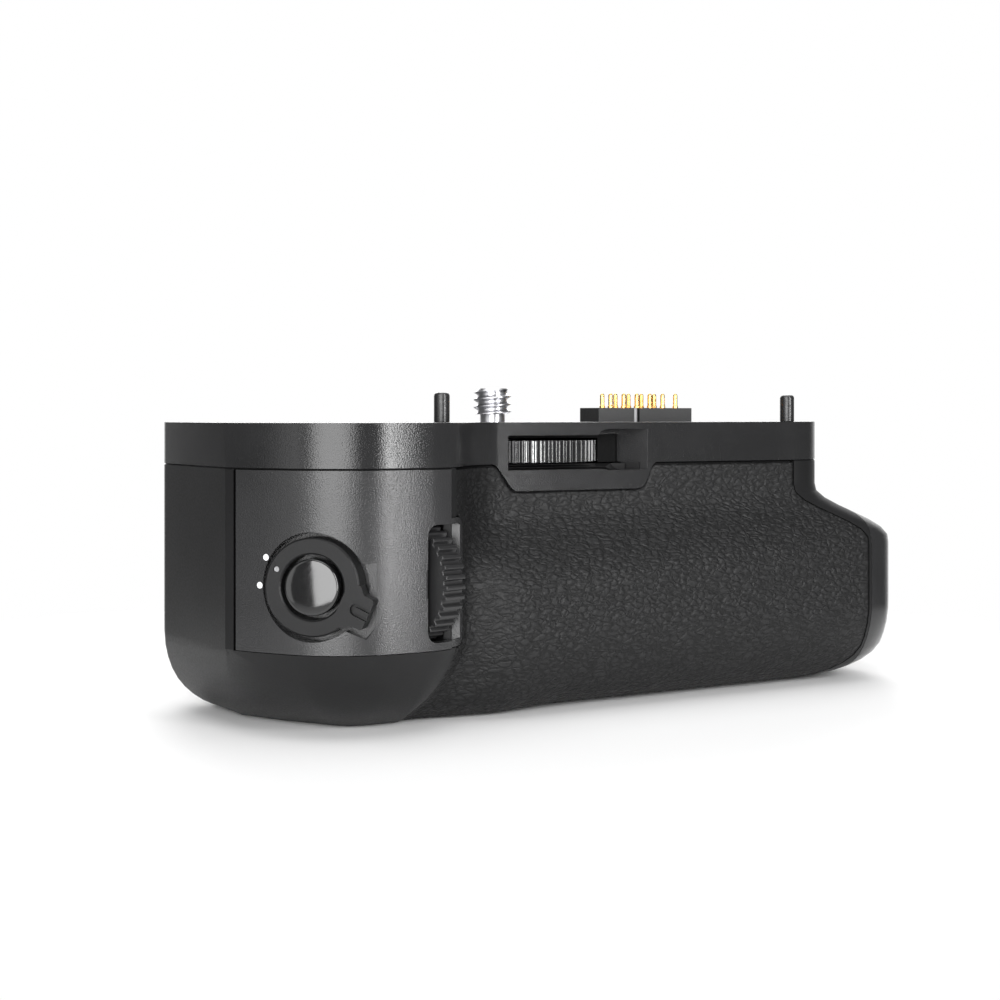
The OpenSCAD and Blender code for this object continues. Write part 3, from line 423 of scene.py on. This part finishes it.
# %% Wrinkles pressed into a fine mesh
VOXEL = 0.27 * MM
SMOOTHINGS = 4
CELL = Vector((1.6 * MM, 0.9 * MM, 0.85 * MM))
BEND = 0.5
BEND_PACE = 0.6
BEND_SEED = 1
GROOVE = 0.5
WRINKLE_DEPTH = 0.11 * MM
GRAIN_DEPTH = 0.02 * MM
GRAIN_PACE = 3.1
FLAT_TOP = (28 * MM, 38 * MM, 0.6)
FLAT_RIGHT = (0, 50 * MM, 0.9)


def fine_copy(node):
    bm = merged_copy(node)
    mesh = bpy.data.meshes.new("rough")
    bm.to_mesh(mesh)
    bm.free()
    rough = bpy.data.objects.new("rough", mesh)
    bpy.context.scene.collection.objects.link(rough)
    remesh = rough.modifiers.new("remesh", "REMESH")
    remesh.mode = "VOXEL"
    remesh.voxel_size = VOXEL
    shown = rough.evaluated_get(bpy.context.evaluated_depsgraph_get())
    fine = bpy.data.meshes.new_from_object(shown)
    bm = bmesh.new()
    bm.from_mesh(fine)
    bpy.data.objects.remove(rough)
    bpy.data.meshes.remove(mesh)
    bpy.data.meshes.remove(fine)
    return bm


def fade(value, start, end, least):
    return 1 - (1 - least) * min(max((value - start) / (end - start), 0), 1)


def wrinkle(place):
    """How far a point of the skin is pressed in, as a negative height."""
    cell = Vector(p / size for p, size in zip(place, CELL))
    cell += BEND * noise.noise_vector(cell * BEND_PACE)
    near = noise.voronoi(cell)[0]
    rise = min((near[1] - near[0]) / GROOVE, 1)
    grain = noise.noise(cell * GRAIN_PACE)
    depth = fade(place.z, *FLAT_TOP) * fade(place.x, *FLAT_RIGHT)
    return -WRINKLE_DEPTH * depth * (1 - rise * (2 - rise)) - GRAIN_DEPTH * (0.5 + 0.5 * grain)


noise.seed_set(BEND_SEED)
print("wrinkles are", WRINKLE_DEPTH / MM, "mm deep")

# %% The skin itself
GLUE_GAP = 0.6 * MM
FACING = -0.5
BACK_FLAT = math.radians(2)
NO_SHARP = math.radians(180)
skin = fine_copy("grip_skin")
for _ in range(SMOOTHINGS):
    bmesh.ops.smooth_vert(skin, verts=skin.verts, factor=0.5,
                          use_axis_x=True, use_axis_y=True, use_axis_z=True)
skin.normal_update()
casing = surface_of("lower_casing_shell")
normals = {v: v.normal.copy() for v in skin.verts}
glued = set()
for vert, normal in normals.items():
    spot, slope, _, _ = casing.find_nearest(vert.co, GLUE_GAP)
    if spot and normal.dot(slope) < FACING:
        glued.add(vert)
for vert, normal in normals.items():
    if vert not in glued:
        vert.co += normal * wrinkle(vert.co)
back_verts = [v for v in skin.verts if v in glued]
back_edges = [e for e in skin.edges if all(v in glued for v in e.verts)]
bmesh.ops.dissolve_limit(skin, angle_limit=BACK_FLAT, verts=back_verts, edges=back_edges)
print("glued side:", len(glued), "points before it was thinned")
make_piece(skin, "grip_leather", FINISHES["grip_rubber"], BODY_OF["grip_skin"],
           ["grip_skin"], NO_SHARP)

# %% [markdown]
# ## The shutter release
# The button is a polished cap that was turned on a lathe when the tool was cut, so its
# shape is a profile spun round its axis. The axis and the sizes are those of the solid.


# %% Turned pieces
def turned(profile, centre, axis, steps=96):
    """Spins (radius, height) points round an axis through the centre."""
    bm = bmesh.new()
    up = Vector(axis).normalized()
    turn = up.to_track_quat("Z", "Y").to_matrix()
    verts = [bm.verts.new(Vector(centre) + turn @ Vector((r, 0, h))) for r, h in profile]
    edges = [bm.edges.new(pair) for pair in zip(verts, verts[1:])]
    bmesh.ops.spin(bm, geom=verts + edges, cent=Vector(centre), axis=up, angle=2 * math.pi,
                   steps=steps, use_merge=True)
    bmesh.ops.remove_doubles(bm, verts=bm.verts, dist=WELD)
    bmesh.ops.recalc_face_normals(bm, faces=bm.faces)
    return bm


def rounded_rim(r, h, edge, steps=6):
    arc = [0.5 * math.pi * i / steps for i in range(steps + 1)]
    return [(r - edge + edge * math.cos(a), h - edge + edge * math.sin(a)) for a in arc]


def join(bm, other):
    """Moves all that another bmesh holds into this one."""
    mesh = bpy.data.meshes.new("joined")
    other.to_mesh(mesh)
    other.free()
    bm.from_mesh(mesh)
    bpy.data.meshes.remove(mesh)


def along_and_across(node, centre, axis):
    """The lowest and highest point of a solid along an axis, and its reach from the axis."""
    steps = [v.co - centre for v in NODES[node].data.vertices]
    heights = [s.dot(axis) for s in steps]
    return min(heights), max(heights), max((s - axis * s.dot(axis)).length for s in steps)


# %% The release button
lock = JOINTS["lock_turn"]
LOCK_CENTRE = Vector(lock["pos_m"])
LOCK_AXIS = Vector(lock["axis"]).normalized()
STEM_R = 1.5 * MM
DOME = 0.15 * MM
EDGE = 0.45 * MM
SKIRT = 2.2 * MM
DOME_STEPS = 8
low, high, reach = along_and_across("shutter_button", LOCK_CENTRE, LOCK_AXIS)
shares = [k / DOME_STEPS for k in range(DOME_STEPS - 2, -1, -1)]
dome = [(reach * share, high - DOME * share ** 2) for share in shares]
profile = [(0, low), (STEM_R, low), (STEM_R, high - SKIRT), (reach, high - SKIRT)]
button = turned(profile + rounded_rim(reach, high - DOME, EDGE) + dome, LOCK_CENTRE, LOCK_AXIS)
make_piece(button, "shutter_cap", FINISHES["gloss_black"], BODY_OF["shutter_button"],
           ["shutter_button"])

# %% [markdown]
# Two dots of white paint on the panel show where the lock ring's mark can stand. Each is
# printed on a curved wall, so a ray finds the wall and its slope, and the dot lies on it.

# %% The printed dots
MARK_ANGLE = 151
MARK_REACH = 8.5 * MM
DOT_R = 0.48 * MM
INK = 0.02 * MM
ABOVE = 9 * MM
RIGHT = UP.cross(LOCK_AXIS).normalized()


def add_disc(bm, spot, slope, r):
    """A thin disc of ink that lies on a surface."""
    place = Matrix.Translation(spot + slope * INK / 2)
    turn = slope.to_track_quat("Z", "Y").to_matrix().to_4x4()
    bmesh.ops.create_cone(bm, cap_ends=True, segments=32, radius1=r, radius2=r, depth=INK,
                          matrix=place @ turn)


panel = surface_of("shutter_panel_shell")
dots = bmesh.new()
for degrees in lock["range_deg"]:
    angle = math.radians(MARK_ANGLE + degrees)
    across = RIGHT * math.cos(angle) + UP * math.sin(angle)
    start = LOCK_CENTRE + MARK_REACH * across + LOCK_AXIS * ABOVE
    spot, slope, _, _ = panel.ray_cast(start, -LOCK_AXIS)
    add_disc(dots, spot, slope, DOT_R)
make_piece(dots, "position_dots", FINISHES["white_paint"], BODY_OF["shutter_panel"])

# %% [markdown]
# The ring's own mark is a dimple filled with grey paint. The dimple is part of the solid:
# a small round face that looks along the axis. So the paint is laid on that face.

# %% The mark on the lock ring
DIMPLE_AREA = 0.7 * MM ** 2
DIMPLE_SIDES = 12
RING_DOT_R = 0.4 * MM
ring = merged_copy("lock_ring")
level = [f for f in ring.faces if f.normal.dot(LOCK_AXIS) > LEVEL and f.calc_area() < DIMPLE_AREA]
dimples = [f.calc_center_median() for f in level if len(f.verts) > DIMPLE_SIDES]
ring.free()
mark = bmesh.new()
add_disc(mark, sum(dimples, Vector()) / len(dimples), LOCK_AXIS, RING_DOT_R)
make_piece(mark, "ring_mark", FINISHES["mark_paint_and_painted_highlight"], BODY_OF["lock_ring"])
print("dimples on the ring:", len(dimples))

# %% [markdown]
# ## The camera screw
# A quarter inch tripod screw has 20 turns to the inch, 1.27 mm each. The thread is one
# tooth swept round the axis while it climbs. Its ends are cut level, and the top is
# turned down to a lead-in, so that the screw finds the camera's socket.

# %% A thread by climbing spin
PITCH = 1.27 * MM
THREAD_D = 0.68 * MM
TURN_STEPS = 48
THREAD_WELD = 0.005 * MM


def thread(crest, root, bottom, top):
    """A threaded wall between two heights on the screw's axis, open at both ends."""
    bm = bmesh.new()
    turns = math.ceil((top - bottom) / PITCH) + 2
    tooth = [(root, 0), (root, 0.12), (crest, 0.44), (crest, 0.56), (root, 0.88), (root, 1)]
    verts = [bm.verts.new((r, 0, bottom - PITCH + h * PITCH)) for r, h in tooth]
    edges = [bm.edges.new(pair) for pair in zip(verts, verts[1:])]
    bmesh.ops.spin(bm, geom=verts + edges, cent=(0, 0, 0), axis=(0, 0, 1),
                   dvec=(0, 0, PITCH / TURN_STEPS), angle=2 * math.pi * turns,
                   steps=TURN_STEPS * turns)
    bmesh.ops.remove_doubles(bm, verts=bm.verts, dist=THREAD_WELD)
    for height, up in ((top, 1), (bottom, -1)):
        bmesh.ops.bisect_plane(bm, geom=bm.verts[:] + bm.edges[:] + bm.faces[:],
                               plane_co=(0, 0, height), plane_no=(0, 0, up), clear_outer=True)
    return bm


# %% The screw: thread, lead-in and neck
low, high, reach = along_and_across("camera_screw", Vector(), UP)
TOP_FACE = max(v.co.z for v in NODES["top_plate"].data.vertices)
NECK_R = 2.1 * MM
NECK_H = 1.3 * MM
NECK_TOP = TOP_FACE + NECK_H
LEAD_IN = 0.7 * MM
LEAD_SLOPE = 0.9
screw = thread(reach, reach - THREAD_D, NECK_TOP, high)
rim = [e for e in screw.edges if e.is_boundary and e.verts[0].co.z > high - WELD]
bmesh.ops.contextual_create(screw, geom=rim)
bmesh.ops.contextual_create(screw, geom=[e for e in screw.edges if e.is_boundary])
for vert in screw.verts:
    limit = reach - max(vert.co.z - (high - LEAD_IN), 0) * LEAD_SLOPE
    if vert.co.xy.length > limit:
        vert.co.xy *= limit / vert.co.xy.length
neck = [(0, low), (NECK_R, low), (NECK_R, NECK_TOP), (0, NECK_TOP)]
join(screw, turned(neck, (0, 0, 0), UP))
bmesh.ops.recalc_face_normals(screw, faces=screw.faces)
make_piece(screw, "screw_thread", FINISHES["screw_steel"], BODY_OF["camera_screw"],
           ["camera_screw"])

# %% [markdown]
# The tripod socket in the base has the same thread, turned inside out: its crests point to
# the axis, so the faces are turned round. Only the depth that a screw reaches is threaded.

# %% The thread in the tripod socket
low = along_and_across("tripod_socket", Vector(), UP)[0]
CREST_IN = 0.5 * MM
ROOT_OUT = 0.05 * MM
MOUTH = 0.6 * MM
SOCKET_R = 3.25 * MM
SOCKET_THREAD = 5.5 * MM
dress("tripod_socket", 0.2)
inner = thread(SOCKET_R - CREST_IN, SOCKET_R + ROOT_OUT, low + MOUTH, low + SOCKET_THREAD)
bmesh.ops.reverse_faces(inner, faces=inner.faces)
make_piece(inner, "socket_thread", FINISHES["steel"], BODY_OF["tripod_socket"])

# %% [markdown]
# ## The contact pins
# Each gold pin is a small spring probe: a plunger with a domed tip in a wider barrel.
# The places are read from the solid, one loose post after another.


# %% Spring probes
def loose_posts(node):
    """Centre in plan, lowest and highest point and radius of each loose part of a solid."""
    bm = merged_copy(node)
    left = set(bm.verts)
    posts = []
    while left:
        part, edge = set(), [next(iter(left))]
        while edge:
            vert = edge.pop()
            if vert not in part:
                part.add(vert)
                edge.extend(e.other_vert(vert) for e in vert.link_edges)
        left -= part
        xs, ys, zs = zip(*[v.co for v in part])
        x, y = (min(xs) + max(xs)) / 2, (min(ys) + max(ys)) / 2
        posts.append((x, y, min(zs), max(zs), (max(xs) - min(xs)) / 2))
    bm.free()
    return sorted(posts)


PLUNGER = 0.78
BARREL_UP = 0.35 * MM
BARREL_ROUND = 0.1 * MM
POST_STEPS = 24
BLOCK_TOP = max(v.co.z for v in NODES["connector_block"].data.vertices)
probes = bmesh.new()
for x, y, bottom, top, r in loose_posts("connector_pins"):
    tip = PLUNGER * r
    barrel = BLOCK_TOP + BARREL_UP
    profile = [(0, bottom), (r, bottom), (r, barrel), (tip, barrel + BARREL_ROUND)]
    join(probes, turned(profile + rounded_rim(tip, top, tip, 5), (x, y, 0), UP, POST_STEPS))
make_piece(probes, "spring_probes", FINISHES["gold"], BODY_OF["connector_pins"],
           ["connector_pins"])

# %% [markdown]
# A groove in the connector keeps the camera's plug from going on the wrong way round. A
# small light-grey rib stands in it, one more turned post; its pale colour is a painted
# highlight along the groove.

# %% A light-grey rib in the connector's key groove, a painted highlight
KEY_R = 0.42 * MM
KEY_ROUND = 0.1 * MM
KEY_PLACE = (26.65 * MM, -3.26 * MM, 0)
foot = [(0, TOP_FACE), (KEY_R, TOP_FACE)]
head = rounded_rim(KEY_R, BLOCK_TOP, KEY_ROUND) + [(0, BLOCK_TOP)]
rib = turned(foot + head, KEY_PLACE, UP, POST_STEPS)
make_piece(rib, "key_rib", FINISHES["mark_paint_and_painted_highlight"], BODY_OF["connector_block"])

# %% [markdown]
# ## The studio
# The photograph is taken from the shutter end, level with the top face, with a lens of
# about 63 mm. The lens is shifted rather than tilted, so that upright edges stay upright.

# %% Camera
CAMERA_PLACE = (-146 * MM, -255 * MM, 47 * MM)
CAMERA_TURN = math.radians(-30)
LENS = 63
SIDE_SHIFT = 0.0012
HORIZON_SHIFT = -0.084
camera_data = bpy.data.cameras.new("camera")
camera_data.lens = LENS
camera_data.shift_x = SIDE_SHIFT
camera_data.shift_y = HORIZON_SHIFT
camera_data.clip_start = 0.01
camera = bpy.data.objects.new("camera", camera_data)
camera.location = CAMERA_PLACE
camera.rotation_euler = (math.pi / 2, 0, CAMERA_TURN)
bpy.context.scene.collection.objects.link(camera)
bpy.context.scene.camera = camera
print("camera at", [round(1000 * v) for v in CAMERA_PLACE], "mm")

# %% [markdown]
# Two softboxes stand either side of the camera: each makes a bright band down the round
# column, and the gap between them is the dark stripe. A weak one lights the left end, one
# overhead lights the floor, and one behind fills the shadows and shows the back.

# %% Lamps
AIM = Vector((0, 0, 23 * MM))


def softbox(name, azimuth, height, distance, width, tall, radiance):
    """azimuth is in degrees to the left of straight ahead, seen from the object's front."""
    lamp = bpy.data.lights.new(name, "AREA")
    lamp.shape = "RECTANGLE"
    lamp.size = width
    lamp.size_y = tall
    lamp.energy = radiance * math.pi * width * tall
    a = math.radians(azimuth)
    stand = bpy.data.objects.new(name, lamp)
    stand.location = AIM + Vector((-math.sin(a) * distance, -math.cos(a) * distance, height))
    turn = (AIM - stand.location).to_track_quat("-Z", "Y")
    stand.rotation_euler = turn.to_matrix().to_euler()
    bpy.context.scene.collection.objects.link(stand)


softbox("left_softbox", 42, 0.15, 0.8, 0.59, 0.7, 6.3)
softbox("right_softbox", -16, 0.15, 0.8, 0.12, 0.7, 21.0)
softbox("side_softbox", 80, 0.15, 0.8, 0.27, 0.7, 1.2)
softbox("top_softbox", 0, 0.9, 0.05, 0.9, 0.9, 2.2)
softbox("back_softbox", 205, 0.35, 0.8, 0.6, 0.6, 3.5)
print("lamps:", len(bpy.data.lights))

# %% [markdown]
# The floor is a pale sheet that takes the shadow near the grip and fades out further off,
# where the white sweep takes over. From below it is clear, so the base can be looked at. It
# lies a little under the base, because two faces in one plane would flicker.

# %% Floor
FLOOR_TONE = 0.95
FLOOR_ROUGH = 0.7
FLOOR_FADE = (0.085, 0.16)
FLOOR_SIZE = 0.4
FLOOR_DROP = 0.1 * MM


def pale_floor():
    tree, shader, place = start_finish("pale_floor")
    shader.inputs["Base Color"].default_value = (FLOOR_TONE, FLOOR_TONE, FLOOR_TONE, 1)
    shader.inputs["Roughness"].default_value = FLOOR_ROUGH
    clear = tree.nodes.new("ShaderNodeBsdfTransparent")
    blend = tree.nodes.new("ShaderNodeMixShader")
    reach = tree.nodes.new("ShaderNodeVectorMath")
    reach.operation = "LENGTH"
    tree.links.new(place, reach.inputs[0])
    below = tree.nodes.new("ShaderNodeNewGeometry")
    either = tree.nodes.new("ShaderNodeMath")
    either.operation = "MAXIMUM"
    far = add_range(tree, reach.outputs["Value"], 0, 1, *FLOOR_FADE)
    tree.links.new(far, either.inputs[0])
    tree.links.new(below.outputs["Backfacing"], either.inputs[1])
    tree.links.new(either.outputs["Value"], blend.inputs["Fac"])
    tree.links.new(shader.outputs["BSDF"], blend.inputs[1])
    tree.links.new(clear.outputs["BSDF"], blend.inputs[2])
    tree.links.new(blend.outputs["Shader"], tree.nodes["Material Output"].inputs["Surface"])


drop = Matrix.Translation((0, 0, -FLOOR_DROP))
bm = bmesh.new()
bmesh.ops.create_grid(bm, x_segments=8, y_segments=8, size=FLOOR_SIZE, matrix=drop)
floor_mesh = bpy.data.meshes.new("floor")
bm.to_mesh(floor_mesh)
bm.free()
pale_floor()
floor_mesh.materials.append(FINISHES["pale_floor"])
floor = bpy.data.objects.new("floor", floor_mesh)
bpy.context.scene.collection.objects.link(floor)
print("floor reaches", FLOOR_SIZE, "m each way")

# %% [markdown]
# The sweep is the world's own colour: white behind the grip, as the camera sees it, and dim
# all round, so that the black plastic keeps its dark sides.

# %% Sweep
BEHIND = (0.5, 0.866, 0)
DIM = 0.10
WHITE = 1.0
SWEEP_EDGE = (0.62, 0.9)
world = bpy.data.worlds.new("sweep")
world.use_nodes = True
sweep = world.node_tree
ground = sweep.nodes["Background"]
direction = sweep.nodes.new("ShaderNodeTexCoord")
facing = sweep.nodes.new("ShaderNodeVectorMath")
facing.operation = "DOT_PRODUCT"
facing.inputs[1].default_value = BEHIND
sweep.links.new(direction.outputs["Generated"], facing.inputs[0])
strength = add_range(sweep, facing.outputs["Value"], DIM, WHITE, *SWEEP_EDGE)
sweep.links.new(strength, ground.inputs["Strength"])
ground.inputs["Color"].default_value = (1, 1, 1, 1)
bpy.context.scene.world = world
bpy.context.scene.view_settings.view_transform = "Standard"
print("studio is lit")
